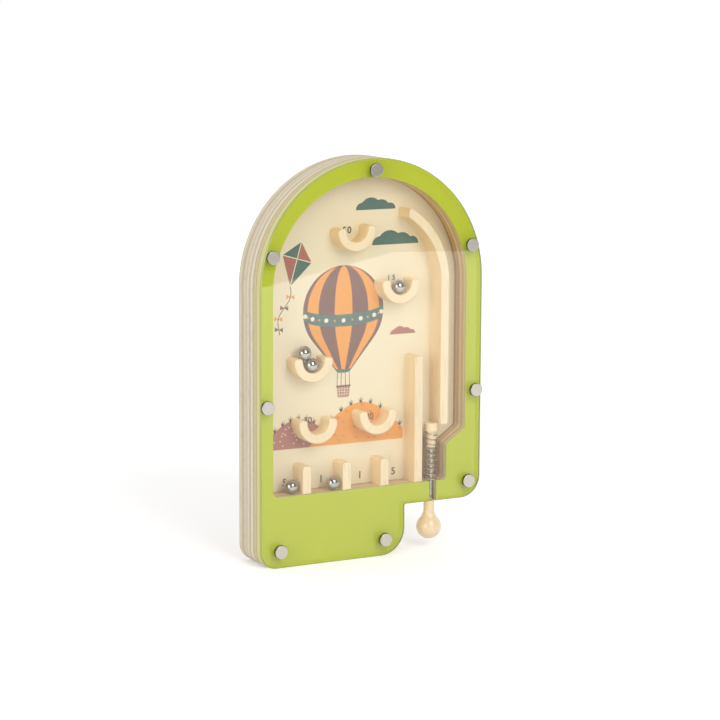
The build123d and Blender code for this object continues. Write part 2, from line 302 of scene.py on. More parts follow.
def make_facing():
    """Masks for the faces that look to the front, to the back and into the play chamber."""
    square_on = 0.7
    tree, given, made = new_group(
        "facing",
        [("Normal", "Vector", None), ("Point", "Vector", None)],
        [("Front", "Float"), ("Back", "Float"), ("Inward", "Float")],
    )
    y = add(tree, "SeparateXYZ", {"Vector": given["Normal"]}).outputs["Y"]
    front = math_node(tree, "LESS_THAN", y, -square_on)
    back = math_node(tree, "GREATER_THAN", y, square_on)
    from_middle = vector_node(tree, "SUBTRACT", given["Point"], CHAMBER_MIDDLE)["Vector"]
    outward = vector_node(tree, "DOT_PRODUCT", given["Normal"], from_middle)["Value"]
    inward = math_node(tree, "LESS_THAN", outward, 0.0)
    level = math_node(tree, "SUBTRACT", 1.0, math_node(tree, "ADD", front, back))
    put(tree, made["Front"], front)
    put(tree, made["Back"], back)
    put(tree, made["Inward"], math_node(tree, "MULTIPLY", inward, level))
    return tree


GRAIN = make_grain()
LAYERS = make_layers()
HANDLING = make_handling()
FACING = make_facing()


def face_masks(tree):
    """Front, Back and Inward masks of the faces of this piece."""
    normal = add(tree, "NewGeometry").outputs["Normal"]
    return use_group(tree, FACING, Normal=normal, Point=object_point(tree))


def edge_colour(tree, light, dark, glue_tone):
    """Colour and relief of a board's raw edge with its layers, pores and glue lines."""
    point = object_point(tree)
    layers = use_group(tree, LAYERS, Vector=point)
    grain = use_group(tree, GRAIN, Vector=point, Scale=120.0, Stretch=0.12)
    colour = lay_over(tree, grain["Fibres"], 0.35, light, dark)
    colour = lay_over(tree, layers["Cross"], 0.85, colour, dark)
    colour = lay_over(tree, grain["Pores"], 0.45, colour, glue_tone)
    colour = lay_over(tree, layers["Glue"], 0.35, colour, glue_tone)
    return colour, grain["Height"]


def pocket_shade_patch(tree):
    """Mask of the soft-edged patch of painted shade behind the spring, where the spring, plunger and
    pocket walls shade the board.
    """
    low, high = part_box("plunger_spring")
    middle = (low + high) / 2
    patch_middle = (middle.x + 1.5 * MM, PLAYFIELD, middle.z - 4.0 * MM)
    patch_reach = (10.0 * MM, 10.0 * MM, 21.0 * MM)
    from_middle = vector_node(tree, "SUBTRACT", object_point(tree), patch_middle)["Vector"]
    share = vector_node(tree, "DIVIDE", from_middle, patch_reach)["Vector"]
    away = vector_node(tree, "LENGTH", share)["Value"]
    return add(tree, "MapRange", {"Value": away, "From Min": 1.25, "From Max": 0.7}).outputs[0]


def rear_corner(tree, point):
    """Mask that rises from 0 to 1 just in front of the playfield."""
    depth = add(tree, "SeparateXYZ", {"Vector": point}).outputs["Y"]
    span = {"From Min": PLAYFIELD - 5 * MM, "From Max": PLAYFIELD - 2 * MM}
    return add(tree, "MapRange", {"Value": depth, **span}).outputs[0]


def board_material(name, front, front_variation, shade_behind_spring=False):
    """Board with a finished front, a sanded veneer back and layered edges; painted warm bounce light
    and painted corner shade on the chamber's walls, and, if asked, painted shade behind the spring.
    """
    material, tree, shader, _ = new_material(name)
    masks = face_masks(tree)
    point = object_point(tree)
    handled = use_group(tree, HANDLING, Vector=point, Scale=18.0)
    veneer = use_group(tree, GRAIN, Vector=point, Scale=60.0, Stretch=0.05)
    edge, edge_height = edge_colour(tree, *BOARD_EDGE)
    # Painted warm bounce light: the walls that face into the chamber are tinted warmer than the outer
    # edges
    edge = mix_colour(tree, masks["Inward"], edge, INNER_WALL_PAINTED_BOUNCE, "MULTIPLY")
    # Painted shade: the walls that face into the chamber darken just in front of the playfield
    corner_shade_mask = math_node(tree, "MULTIPLY", masks["Inward"], rear_corner(tree, point))
    edge = mix_colour(tree, corner_shade_mask, edge, CORNER_PAINTED_SHADE, "MULTIPLY")
    front_colour = mix_colour(tree, handled["Tone"], front, front_variation)
    # Painted shade on the board's front in the pocket behind the spring
    if shade_behind_spring:
        front_colour = mix_colour(tree, pocket_shade_patch(tree), front_colour, POCKET_PAINTED_SHADE)
    back_colour = lay_over(tree, veneer["Bands"], 0.5, VENEER, VENEER_BANDS)
    back_colour = lay_over(tree, veneer["Pores"], 0.4, back_colour, VENEER_PORES)
    colour = mix_colour(tree, masks["Front"], edge, front_colour)
    colour = mix_colour(tree, masks["Back"], colour, back_colour)
    put(tree, shader.inputs["Base Color"], colour)
    rough = math_node(tree, "SUBTRACT", 0.68, math_node(tree, "MULTIPLY", masks["Front"], 0.22))
    put(tree, shader.inputs["Roughness"], add_smudges(tree, rough, handled, 0.08))
    raw = math_node(tree, "SUBTRACT", 1.0, masks["Front"])
    bump(tree, shader, math_node(tree, "MULTIPLY", edge_height, raw), 0.12 * MM)
    return material


def wood_material(name, light, dark, roughness=0.55, coat=0.0, side=None):
    """Pale solid wood with fine fibres, slow bands and a few pores; sawn sides may be tinted, partly
    for the sawn wood's own tone and partly as painted warm bounce light.
    """
    material, tree, shader, _ = new_material(name)
    point = object_point(tree)
    grain = use_group(tree, GRAIN, Vector=point, Scale=110.0, Stretch=0.05)
    handled = use_group(tree, HANDLING, Vector=point, Scale=40.0)
    pore_tone = tuple(0.45 * value for value in dark)
    colour = lay_over(tree, grain["Bands"], 0.55, light, dark)
    colour = lay_over(tree, grain["Fibres"], 0.25, colour, dark)
    colour = lay_over(tree, grain["Pores"], 0.3, colour, pore_tone)
    # Tint on the sawn sides: partly the sawn wood's own tone, partly painted warm bounce light
    if side:
        sawn = math_node(tree, "SUBTRACT", 1.0, face_masks(tree)["Front"])
        colour = lay_over(tree, sawn, 0.75, colour, side, "MULTIPLY")
    put(tree, shader.inputs["Base Color"], colour)
    put(tree, shader.inputs["Roughness"], add_smudges(tree, roughness, handled, 0.1))
    shader.inputs["Coat Weight"].default_value = coat
    shader.inputs["Coat Roughness"].default_value = 0.12
    bump(tree, shader, grain["Height"], 0.08 * MM)
    return material


def paint_material():
    """Face ring: smooth yellow-green paint on the front, raw pale edge."""
    material, tree, shader, _ = new_material("green_paint")
    masks = face_masks(tree)
    handled = use_group(tree, HANDLING, Vector=object_point(tree), Scale=14.0)
    darker = tuple(0.9 * value for value in GREEN)
    paint = mix_colour(tree, handled["Tone"], GREEN, darker)
    edge, edge_height = edge_colour(tree, *PAINT_EDGE)
    put(tree, shader.inputs["Base Color"], mix_colour(tree, masks["Front"], edge, paint))
    rough = math_node(tree, "SUBTRACT", 0.62, math_node(tree, "MULTIPLY", masks["Front"], 0.24))
    put(tree, shader.inputs["Roughness"], add_smudges(tree, rough, handled, 0.05))
    shader.inputs["Specular IOR Level"].default_value = 0.2
    raw = math_node(tree, "SUBTRACT", 1.0, masks["Front"])
    bump(tree, shader, math_node(tree, "MULTIPLY", edge_height, raw), 0.1 * MM)
    return material


def ink_material(name, colour):
    """Matt printing ink with a fine uneven lay and pin holes that show the ground."""
    material, tree, shader, _ = new_material(name)
    point = object_point(tree)
    handled = use_group(tree, HANDLING, Vector=point, Scale=60.0)
    speck = add(tree, "TexNoise", {"Vector": point, "Scale": 1900.0, "Detail": 1.0})
    holes = ramp(tree, speck.outputs["Fac"], [(0.68, 0.0), (0.78, 1.0)])
    darker = tuple(0.86 * value for value in colour)
    body = mix_colour(tree, handled["Tone"], colour, darker)
    put(tree, shader.inputs["Base Color"], lay_over(tree, holes, 0.5, body, CREAM))
    put(tree, shader.inputs["Roughness"], add_smudges(tree, 0.45, handled, 0.12))
    return material


def steel_material(name, colour, roughness, streaks, streak_scale=(1, 1, 1), side=None):
    """Metal with fine lines from grinding or drawing, faint smudges and, if given, sides painted dark
    as shade.
    """
    material, tree, shader, _ = new_material(name)
    point = object_point(tree, streak_scale)
    handled = use_group(tree, HANDLING, Vector=object_point(tree), Scale=120.0)
    lines = add(tree, "TexNoise", {"Vector": point, "Scale": 2600.0, "Detail": 3.0}).outputs["Fac"]
    darker = tuple(0.72 * value for value in colour)
    tone = lay_over(tree, lines, streaks, colour, darker)
    # Dark sides, where given, are painted shade
    if side:
        tone = mix_colour(tree, face_masks(tree)["Front"], side, tone)
    put(tree, shader.inputs["Base Color"], tone)
    shader.inputs["Metallic"].default_value = 1.0
    rough = add_smudges(tree, roughness, handled, 0.06)
    rough = math_node(tree, "ADD", rough, math_node(tree, "MULTIPLY", lines, streaks * 0.15))
    put(tree, shader.inputs["Roughness"], rough)
    bump(tree, shader, lines, 0.012 * MM * streaks)
    return material


def let_light_through(tree, shader, output, tint):
    """Light and bounced light pass straight through; every other ray meets the real surface."""
    through = add(tree, "BsdfTransparent", {"Color": tint})
    path = add(tree, "LightPath").outputs
    straight = math_node(tree, "MAXIMUM", path["Is Shadow Ray"], path["Is Diffuse Ray"])
    mix = add(tree, "MixShader")
    put(tree, mix.inputs[0], straight)
    tree.links.new(shader.outputs[0], mix.inputs[1])
    tree.links.new(through.outputs[0], mix.inputs[2])
    tree.links.new(mix.outputs[0], output.inputs[0])


def clear_material():
    """Clear sheet with faint smudges; light passes straight through, so the chamber stays lit."""
    material, tree, shader, output = new_material("clear_sheet")
    handled = use_group(tree, HANDLING, Vector=object_point(tree), Scale=20.0)
    tint = mix_colour(tree, handled["Tone"], (0.995, 0.998, 0.985), (0.99, 0.995, 0.975))
    put(tree, shader.inputs["Base Color"], tint)
    put(tree, shader.inputs["Roughness"], add_smudges(tree, 0.0, handled, 0.004))
    shader.inputs["IOR"].default_value = 1.49
    shader.inputs["Transmission Weight"].default_value = 1.0
    let_light_through(tree, shader, output, (0.98, 0.985, 0.97))
    return material


def sheet_edge_material():
    """Edge of the clear sheet: sawn and frosted all round, a polished bevel in front; its olive tones
    are painted reflection of the green paint in the acrylic, darker on the inner side as painted
    shade.
    """
    material, tree, shader, output = new_material("sheet_edge")
    handled = use_group(tree, HANDLING, Vector=object_point(tree), Scale=50.0)
    geometry = add(tree, "NewGeometry").outputs
    y = add(tree, "SeparateXYZ", {"Vector": geometry["Normal"]}).outputs["Y"]
    bevel = math_node(tree, "GREATER_THAN", math_node(tree, "ABSOLUTE", y), 0.3)
    # Olive tones: painted reflection of the green paint in the acrylic; the darker Backfacing tone is
    # painted shade
    outside = mix_colour(tree, handled["Tone"], (0.66, 0.63, 0.33), (0.62, 0.59, 0.28))
    sawn = mix_colour(tree, geometry["Backfacing"], outside, (0.33, 0.37, 0.11))
    polished = mix_colour(tree, handled["Tone"], (0.38, 0.42, 0.11), (0.33, 0.37, 0.09))
    put(tree, shader.inputs["Base Color"], mix_colour(tree, bevel, sawn, polished))
    rough = math_node(tree, "SUBTRACT", 0.5, math_node(tree, "MULTIPLY", bevel, 0.32))
    put(tree, shader.inputs["Roughness"], add_smudges(tree, rough, handled, 0.08))
    across_the_edge = object_point(tree, (1, 0.08, 1))
    saw_marks = add(tree, "TexNoise", {"Vector": across_the_edge, "Scale": 1500.0})
    bump(tree, shader, saw_marks.outputs["Fac"], 0.01 * MM)
    let_light_through(tree, shader, output, (0.93, 0.94, 0.80))
    return material


# The side tint here is partly the sawn wood's tone and partly painted warm bounce light
FIELD_WOOD = wood_material(
    "field_wood", (0.885, 0.725, 0.50), (0.80, 0.62, 0.39), side=(1.06, 0.99, 0.82)
)
TURNED_WOOD = wood_material(
    "turned_wood", (0.88, 0.70, 0.46), (0.82, 0.61, 0.36), roughness=0.36, coat=1.0
)
BASE = board_material("base_board", CREAM, (0.79, 0.68, 0.48), shade_behind_spring=True)
FRAME = board_material("frame_board", (0.70, 0.58, 0.38), (0.66, 0.54, 0.35))
PAINT = paint_material()
CLEAR = clear_material()
SHEET_EDGE = sheet_edge_material()
# The studs' dark sides are painted shade round each head
STUD = steel_material(
    "stud_steel", (0.68, 0.64, 0.59), 0.24, 0.6, (1, 1, 0.05), side=(0.16, 0.15, 0.13)
)
BALL = steel_material("ball_steel", (0.50, 0.49, 0.47), 0.07, 0.1)
ROD = steel_material("rod_steel", (0.62, 0.59, 0.52), 0.22, 0.6, (1, 1, 0.03))
SPRING = steel_material("spring_steel", (0.60, 0.53, 0.44), 0.2, 0.3)
INKS = {
    "plum": ink_material("ink_plum", PLUM),
    "orange": ink_material("ink_orange", ORANGE),
    "teal": ink_material("ink_teal", TEAL),
    "rose": ink_material("ink_rose", ROSE),
    "milk": ink_material("ink_milk", MILK),
    "dark": ink_material("ink_dark", INK),
}


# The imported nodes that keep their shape


def dress(material, *nodes):
    """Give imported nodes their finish."""
    for node in nodes:
        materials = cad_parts[node].data.materials
        materials.clear()
        materials.append(material)


dress(BASE, "base_board")
dress(FRAME, "frame_ring")
dress(PAINT, "face_ring")
dress(STUD, "cover_studs")
dress(TURNED_WOOD, "plunger_head", "plunger_knob")
dress(ROD, "plunger_rod")
dress(FIELD_WOOD, "cup_1", "cup_2", "cup_3", "cup_4", "cup_5")
dress(FIELD_WOOD, "lane_divider_1", "lane_divider_2", "lane_divider_3")
dress(FIELD_WOOD, "launch_lane_strip", "curved_guide")
dress(BALL, "ball_1", "ball_2", "ball_3", "ball_4", "ball_5")


# New pieces


def finish_piece(name, mesh, material, body, replaced=()):
    """Object for a finished mesh, riding on its body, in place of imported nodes."""
    mesh.materials.clear()
    mesh.materials.append(material)
    piece = bpy.data.objects.new(name, mesh)
    bpy.context.scene.collection.objects.link(piece)
    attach(piece, body)
    if replaced:
        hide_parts(*replaced)
    return piece


def cover_sheet():
    """Clear sheet, set a hair in front of the painted ring so that air lies between them."""
    air = 0.05 * MM
    weld = 0.001 * MM
    rear_face = COVER_HIGH.y - 0.01 * MM
    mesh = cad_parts["clear_cover"].data.copy()
    shape = bmesh.new()
    shape.from_mesh(mesh)
    bmesh.ops.remove_doubles(shape, verts=shape.verts, dist=weld)
    for vertex in shape.verts:
        if vertex.co.y > rear_face:
            vertex.co.y -= air
    shape.to_mesh(mesh)
    shape.free()
    mesh.name = "cover_sheet"
    mesh.attributes.remove(mesh.attributes["custom_normal"])
    mesh.shade_smooth()
    mesh.set_sharp_from_angle(angle=math.radians(30))
    finish_piece("cover_sheet", mesh, CLEAR, "board", ["clear_cover"])
    mesh.materials.append(SHEET_EDGE)
    for face in mesh.polygons:
        face.material_index = 0 if abs(face.normal.y) > 0.95 else 1


def geometry_tree(name, inputs):
    """Empty geometry tree with named inputs: (name, type, default value)."""
    tree = bpy.data.node_groups.new(name, "GeometryNodeTree")
    for label, kind, default in inputs:
        socket = tree.interface.new_socket(label, in_out="INPUT", socket_type="NodeSocket" + kind)
        if default is not None:
            socket.default_value = default
    tree.interface.new_socket("Geometry", in_out="OUTPUT", socket_type="NodeSocketGeometry")
    given = tree.nodes.new("NodeGroupInput").outputs
    made = tree.nodes.new("NodeGroupOutput").inputs
    return tree, given, made


def geometry_node(tree, kind, inputs=None, **settings):
    """A geometry node with its settings, and its inputs given as values or as sockets to link."""
    node = tree.nodes.new("GeometryNode" + kind)
    for name, value in settings.items():
        setattr(node, name, value)
    for name, value in (inputs or {}).items():
        put(tree, node.inputs[name], value)
    return node


def end_tree(tree, made, geometry, finish):
    """Last nodes of a geometry tree: real geometry in one finish."""
    real = geometry_node(tree, "RealizeInstances", {"Geometry": geometry})
    dressed = geometry_node(
        tree, "SetMaterial", {"Geometry": real.outputs[0], "Material": finish}
    )
    put(tree, made["Geometry"], dressed.outputs[0])


def plain_mesh(name, holder):
    """Plain mesh of an object as it is evaluated; the object goes."""
    bpy.context.scene.collection.objects.link(holder)
    bpy.context.view_layer.update()
    evaluated = holder.evaluated_get(bpy.context.evaluated_depsgraph_get())
    mesh = bpy.data.meshes.new_from_object(evaluated)
    mesh.name = name
    bpy.data.objects.remove(holder)
    return mesh


def grown_mesh(name, tree, values, ground=None):
    """Mesh that a geometry tree makes from its named inputs, as plain data."""
    holder = bpy.data.objects.new(name, ground or bpy.data.meshes.new(name))
    modifier = holder.modifiers.new("grow", "NODES")
    modifier.node_group = tree
    for item in tree.interface.items_tree:
        if item.in_out == "INPUT" and item.name in values:
            modifier[item.identifier] = values[item.name]
    return plain_mesh(name, holder)


def coil_tree():
    """Spring with level ends: a spiral whose climb fades in and out over half a turn."""
    tree, given, made = geometry_tree(
        "coil",
        [
            ("Turns", "Float", 10.0),
            ("Radius", "Float", 0.004),
            ("Length", "Float", 0.03),
            ("Wire", "Float", 0.001),
            ("Finish", "Material", None),
        ],
    )
    spiral = geometry_node(
        tree,
        "CurveSpiral",
        {
            "Resolution": 40,
            "Rotations": given["Turns"],
            "Start Radius": given["Radius"],
            "End Radius": given["Radius"],
            "Height": 0.0,
        },
    )
    halves = math_node(tree, "MULTIPLY", given["Turns"], 2.0)
    steady = math_node(tree, "SUBTRACT", halves, 1.0)
    rise = math_node(tree, "DIVIDE", given["Length"], steady)
    factor = geometry_node(tree, "SplineParameter").outputs["Factor"]
    turned = math_node(tree, "MULTIPLY", factor, halves)
    early = math_node(tree, "MAXIMUM", math_node(tree, "SUBTRACT", 1.0, turned), 0.0)
    late = math_node(tree, "MAXIMUM", math_node(tree, "SUBTRACT", turned, steady), 0.0)
    early = math_node(tree, "MULTIPLY", math_node(tree, "MULTIPLY", early, early), 0.5)
    late = math_node(tree, "MULTIPLY", math_node(tree, "MULTIPLY", late, late), 0.5)
    climbed = math_node(tree, "SUBTRACT", math_node(tree, "ADD", turned, early), late)
    height = math_node(tree, "MULTIPLY", math_node(tree, "SUBTRACT", climbed, 0.5), rise)
    offset = add(tree, "CombineXYZ", {"Z": height}).outputs[0]
    raised = geometry_node(tree, "SetPosition", {"Geometry": spiral.outputs[0], "Offset": offset})
    section = geometry_node(tree, "CurvePrimitiveCircle", {"Resolution": 14})
    put(tree, section.inputs["Radius"], math_node(tree, "MULTIPLY", given["Wire"], 0.5))
    tube = geometry_node(
        tree,
        "CurveToMesh",
        {"Curve": raised.outputs[0], "Profile Curve": section.outputs[0], "Fill Caps": True},
    )
    smooth = geometry_node(tree, "SetShadeSmooth", {"Geometry": tube.outputs[0]})
    end_tree(tree, made, smooth.outputs[0], given["Finish"])
    return tree


def spring():
    """Spring between the pocket's floor and the plunger's head."""
    low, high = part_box("plunger_spring")
    rod_low, rod_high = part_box("plunger_rod")
    rod_middle = (rod_low + rod_high) / 2
    wire = 1.0 * MM
    length = high.z - low.z
    values = {
        "Turns": 10.0,
        "Radius": (high.x - low.x - wire) / 2,
        "Length": length - wire,
        "Wire": wire,
        "Finish": SPRING,
    }
    mesh = grown_mesh("spring_coil", coil_tree(), values)
    mesh.transform(Matrix.Translation((rod_middle.x, rod_middle.y, low.z + wire / 2)))
    piece = finish_piece("spring_coil", mesh, SPRING, "board", ["plunger_spring"])
    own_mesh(piece)


# Print on the playfield

INK_STEP = 0.03 * MM
NUMBER_HALF_THICKNESS = 2.5 * INK_STEP
NUMBER_WEIGHT = 0.018


def printed(name, outlines, ink, level=1):
    """Thin closed layers of ink with these outlines, in millimetres on the playfield."""
    front = PLAYFIELD - level * INK_STEP
    shape = bmesh.new()
    for outline in outlines:
        near = [shape.verts.new(place(x, z, front)) for x, z in outline]
        far = [shape.verts.new(place(x, z, PLAYFIELD)) for x, z in outline]
        count = len(outline)
        shape.faces.new(near)
        shape.faces.new(far[::-1])
        for k in range(count):
            after = (k + 1) % count
            shape.faces.new((near[k], far[k], far[after], near[after]))
    bmesh.ops.recalc_face_normals(shape, faces=shape.faces)
    bmesh.ops.triangulate(shape, faces=[face for face in shape.faces if len(face.verts) > 4])
    mesh = bpy.data.meshes.new(name)
    shape.to_mesh(mesh)
    shape.free()
    finish_piece(name, mesh, INKS[ink], "board")


def disc(x, z, radius, count=20):
    """Outline of a round dot."""
    angles = [math.radians(360 * k / count) for k in range(count)]
    return [(x + radius * math.cos(angle), z + radius * math.sin(angle)) for angle in angles]


def ribbon(points, thickness):
    """Outline of a line of this thickness through the points, with square ends."""
    left, right = [], []
    for k, point in enumerate(points):
        before = Vector(points[max(k - 1, 0)])
        after = Vector(points[min(k + 1, len(points) - 1)])
        along = (after - before).normalized()
        across = Vector((-along.y, along.x)) * thickness / 2
        left.append(tuple(Vector(point) + across))
        right.append(tuple(Vector(point) - across))
    return left + right[::-1]


def number(name, text, x, z, tall=5.6, spread=1.0):
    """Printed number whose middle lies at x, z."""
    curve = bpy.data.curves.new(name, "FONT")
    curve.body = text
    curve.resolution_u = 6
    curve.extrude = NUMBER_HALF_THICKNESS
    curve.space_character = spread
    curve.offset = NUMBER_WEIGHT
    mesh = plain_mesh(name, bpy.data.objects.new(name, curve))
    wide = [vertex.co.x for vertex in mesh.vertices]
    high = [vertex.co.y for vertex in mesh.vertices]
    scale = tall * MM / (max(high) - min(high))
    middle = place(x, z, PLAYFIELD - NUMBER_HALF_THICKNESS - INK_STEP)
    for vertex in mesh.vertices:
        across = (vertex.co.x - (max(wide) + min(wide)) / 2) * scale
        up = (vertex.co.y - (max(high) + min(high)) / 2) * scale
        vertex.co = Vector((middle.x + across, middle.y - vertex.co.z, middle.z + up))
    finish_piece(name, mesh, INKS["dark"], "board")


# The picture: a balloon, a kite and clouds over two hills

BALLOON_X, BALLOON_Z, BALLOON_RADIUS = 80.0, 187.0, 34.0
TAPER = math.radians(40)
NECK_RISE = -46.5
BAND_SAG = 7.0
PRINT_LEFT, PRINT_RIGHT = 12.8, 132.2
HILL_BASE = 85.0

# Hills: middle, half width and height
LEFT_HILL = (42.0, 34.0, 22.0)
LEFT_HILL_DOTTED = (38.0, 28.0, 19.0)
RIGHT_HILL = (95.0, 44.0, 31.0)
HILL_MARGIN = 2.2


def half_width(rise):
    """Half width of the balloon at this rise from its middle: round, then a straight taper."""
    turn = -BALLOON_RADIUS * math.sin(TAPER)
    if rise > turn:
        return math.sqrt(BALLOON_RADIUS**2 - rise**2)
    return BALLOON_RADIUS * math.cos(TAPER) - (turn - rise) * math.tan(TAPER)


def meridian(angle):
    """Line down the balloon's skin from its top to its neck, turned this far from the middle."""
    share = math.sin(math.radians(angle))
    rises = [BALLOON_RADIUS * math.cos(math.radians(step)) for step in range(3, 91, 3)]
    rises += [NECK_RISE * step / 24 for step in range(1, 25)]
    return [(BALLOON_X + share * half_width(rise), BALLOON_Z + rise) for rise in rises]


def round_the_skin(rise, sag, angles):
    """Points of a level line round the balloon, seen from a little above."""
    points = []
    for angle in angles:
        level = rise - sag * math.cos(math.radians(angle))
        x = BALLOON_X + half_width(level) * math.sin(math.radians(angle))
        points.append((x, BALLOON_Z + level))
    return points


def balloon():
    """Striped balloon with a dotted band round its middle."""
    printed("balloon_skin", [meridian(-90) + meridian(90)[::-1]], "plum")
    gores = [meridian(left) + meridian(left + 26)[::-1] for left in (-64, -13, 38)]
    printed("balloon_gores", gores, "orange", 2)
    seams = [ribbon(meridian(angle), 0.5) for angle in (-64, -38, -13, 13, 38, 64)]
    printed("balloon_seams", seams, "rose", 3)
    around = range(-90, 91, 5)
    upper_band = round_the_skin(4.0, BAND_SAG, around)
    lower_band = round_the_skin(-5.0, BAND_SAG, around)
    printed("balloon_band", [upper_band + lower_band[::-1]], "teal", 4)
    large = round_the_skin(-0.5, BAND_SAG, (-72, -51, -26, 0, 26, 51, 72))
    printed("balloon_band_dots", [disc(x, z, 1.7) for x, z in large], "milk", 5)
    small = round_the_skin(-0.5, BAND_SAG, (-62, -38, -13, 13, 38, 62))
    printed("balloon_band_points", [disc(x, z, 0.8, 12) for x, z in small], "orange", 5)
    upper_hem = round_the_skin(NECK_RISE + 2.6, 0.8, around)
    lower_hem = round_the_skin(NECK_RISE, 0.8, around)
    printed("balloon_hem", [upper_hem + lower_hem[::-1]], "teal", 4)


def basket():
    """Woven basket on four ropes under the balloon."""
    neck_z = BALLOON_Z + NECK_RISE
    top_z = neck_z - 11.0
    spread = half_width(NECK_RISE) - 0.5
    ropes = [
        ribbon([(BALLOON_X + share * spread, neck_z), (BALLOON_X + share * 5.4, top_z)], 0.5)
        for share in (-1.0, -0.35, 0.35, 1.0)
    ]
    printed("basket_ropes", ropes, "dark")
    body = [(-5.6, 0.0), (5.6, 0.0), (4.8, -7.6), (3.8, -8.6), (-3.8, -8.6), (-4.8, -7.6)]
    printed("basket_body", [[(BALLOON_X + x, top_z + z) for x, z in body]], "rose", 2)
    weave = []
    for drop in (2.2, 4.2, 6.2):
        reach = 5.4 - 0.1 * drop
        row = [(BALLOON_X - reach, top_z - drop), (BALLOON_X + reach, top_z - drop)]
        weave.append(ribbon(row, 0.4))
    for x in (-3.6, -1.2, 1.2, 3.6):
        stake = [(BALLOON_X + x, top_z - 0.6), (BALLOON_X + 0.84 * x, top_z - 8.2)]
        weave.append(ribbon(stake, 0.4))
    printed("basket_weave", weave, "milk", 3)
    rim = ribbon([(BALLOON_X - 6.1, top_z), (BALLOON_X + 6.1, top_z)], 1.3)
    printed("basket_rim", [rim], "plum", 4)


def kite():
    """Kite of four cloths on crossed sticks, with bows along its tail."""
    middle = Vector((41.0, 228.0))
    turn = Matrix.Rotation(math.radians(-16), 2)
    left, right, top, bottom = (
        middle + turn @ Vector(corner) for corner in ((-12.5, 0), (12.5, 0), (0, 13), (0, -21))
    )
    cloths = [(left, top), (top, right), (right, bottom), (bottom, left)]
    for k, (first, second) in enumerate(cloths):
        ink = ("teal", "rose")[k % 2]
        printed(f"kite_cloth_{k + 1}", [[tuple(middle), tuple(first), tuple(second)]], ink)
    sticks = [ribbon([tuple(left), tuple(right)], 0.7), ribbon([tuple(top), tuple(bottom)], 0.7)]
    printed("kite_sticks", sticks, "milk", 2)
    tail = [
        (bottom.x - 0.30 * drop + 2.6 * math.sin(drop / 5.0), bottom.y - drop)
        for drop in range(0, 37)
    ]
    printed("kite_tail", [ribbon(tail, 0.6)], "dark")
    for k, drop in enumerate((8, 16, 24, 32)):
        x, z = tail[drop]
        left_wing = [(x, z), (x - 3.2, z + 2.2), (x - 3.4, z - 1.4)]
        right_wing = [(x, z), (x + 3.4, z + 1.4), (x + 3.2, z - 2.2)]
        printed(f"kite_bow_{k + 1}", [left_wing, right_wing], ("orange", "plum")[k % 2], 2)


def cloud(name, x, z, wide, ink):
    """Flat bottomed cloud of four round heaps, each given as its middle and radius per width."""
    heaps = [(-0.34, 0.16), (-0.12, 0.27), (0.14, 0.22), (0.36, 0.14)]
    steps = 60
    top = []
    for k in range(1, steps):
        across = k / steps - 0.5
        heights = [math.sqrt(max(radius**2 - (across - middle) ** 2, 0)) for middle, radius in heaps]
        top.append((x + across * wide, z + max(heights) * wide))
    printed(name, [[(x - 0.5 * wide, z)] + top + [(x + 0.5 * wide, z)]], ink)


def hill(x, half_wide, tall, inset=0.0):
    """Outline of a round hill, cut at the ends of the print."""
    base = HILL_BASE + inset
    points = []
    for k in range(61):
        share = k / 30 - 1
        across = x + share * (half_wide - inset)
        if PRINT_LEFT < across < PRINT_RIGHT - inset:
            points.append((across, base + (tall - 2 * inset) * math.cos(share * math.pi / 2)))
    return [(points[0][0], base)] + points + [(points[-1][0], base)]


def grass(name, x, half_wide, tall, ink, level):
    """Tufts of three blades along a hill's back."""
    blades = []
    for k in range(-4, 5):
        share = k / 5.2
        foot_x = x + share * half_wide
        foot_z = HILL_BASE - 0.4 + tall * math.cos(share * math.pi / 2)
        if not PRINT_LEFT + 1.2 < foot_x < PRINT_RIGHT - 3.2:
            continue
        for lean, length in ((-1.9, 3.4), (0.2, 5.0), (2.1, 3.8)):
            tip = (foot_x + lean, foot_z + length)
            blades.append([(foot_x - 0.7, foot_z), (foot_x + 0.7, foot_z), tip])
    printed(name, blades, ink, level)


def fleck_tree():
    """Small flat marks strewn over a flat ground, each turned at random within its plane."""
    tree, given, made = geometry_tree(
        "flecks",
        [
            ("Ground", "Geometry", None),
            ("Density", "Float", 50000.0),
            ("Long", "Float", 0.001),
            ("Wide", "Float", 0.001),
            ("Thick", "Float", 0.0001),
            ("Turn", "Float", 3.0),
            ("Seed", "Int", 1),
            ("Finish", "Material", None),
        ],
    )
    spots = geometry_node(
        tree, "DistributePointsOnFaces", {"Mesh": given["Ground"]}, distribute_method="POISSON"
    )
    put(tree, spots.inputs["Distance Min"], math_node(tree, "MULTIPLY", given["Long"], 1.6))
    put(tree, spots.inputs["Density Max"], given["Density"])
    put(tree, spots.inputs["Seed"], given["Seed"])
    mark = geometry_node(tree, "MeshCylinder", {"Vertices": 10, "Radius": 0.5, "Depth": 1.0})
    size = add(tree, "CombineXYZ", {"X": given["Long"], "Y": given["Wide"], "Z": given["Thick"]})
    scaled = geometry_node(
        tree, "Transform", {"Geometry": mark.outputs["Mesh"], "Scale": size.outputs[0]}
    )
    upright = (math.pi / 2, 0.0, 0.0)
    laid = geometry_node(tree, "Transform", {"Geometry": scaled.outputs[0], "Rotation": upright})
    chance = tree.nodes.new("FunctionNodeRandomValue")
    largest = chance.inputs[3]
    put(tree, largest, given["Turn"])
    put(tree, chance.inputs["Seed"], given["Seed"])
    angle = add(tree, "CombineXYZ", {"Y": chance.outputs[1]}).outputs[0]
    strewn = geometry_node(
        tree,
        "InstanceOnPoints",
        {"Points": spots.outputs["Points"], "Instance": laid.outputs[0], "Rotation": angle},
    )
    end_tree(tree, made, strewn.outputs[0], given["Finish"])
    return tree


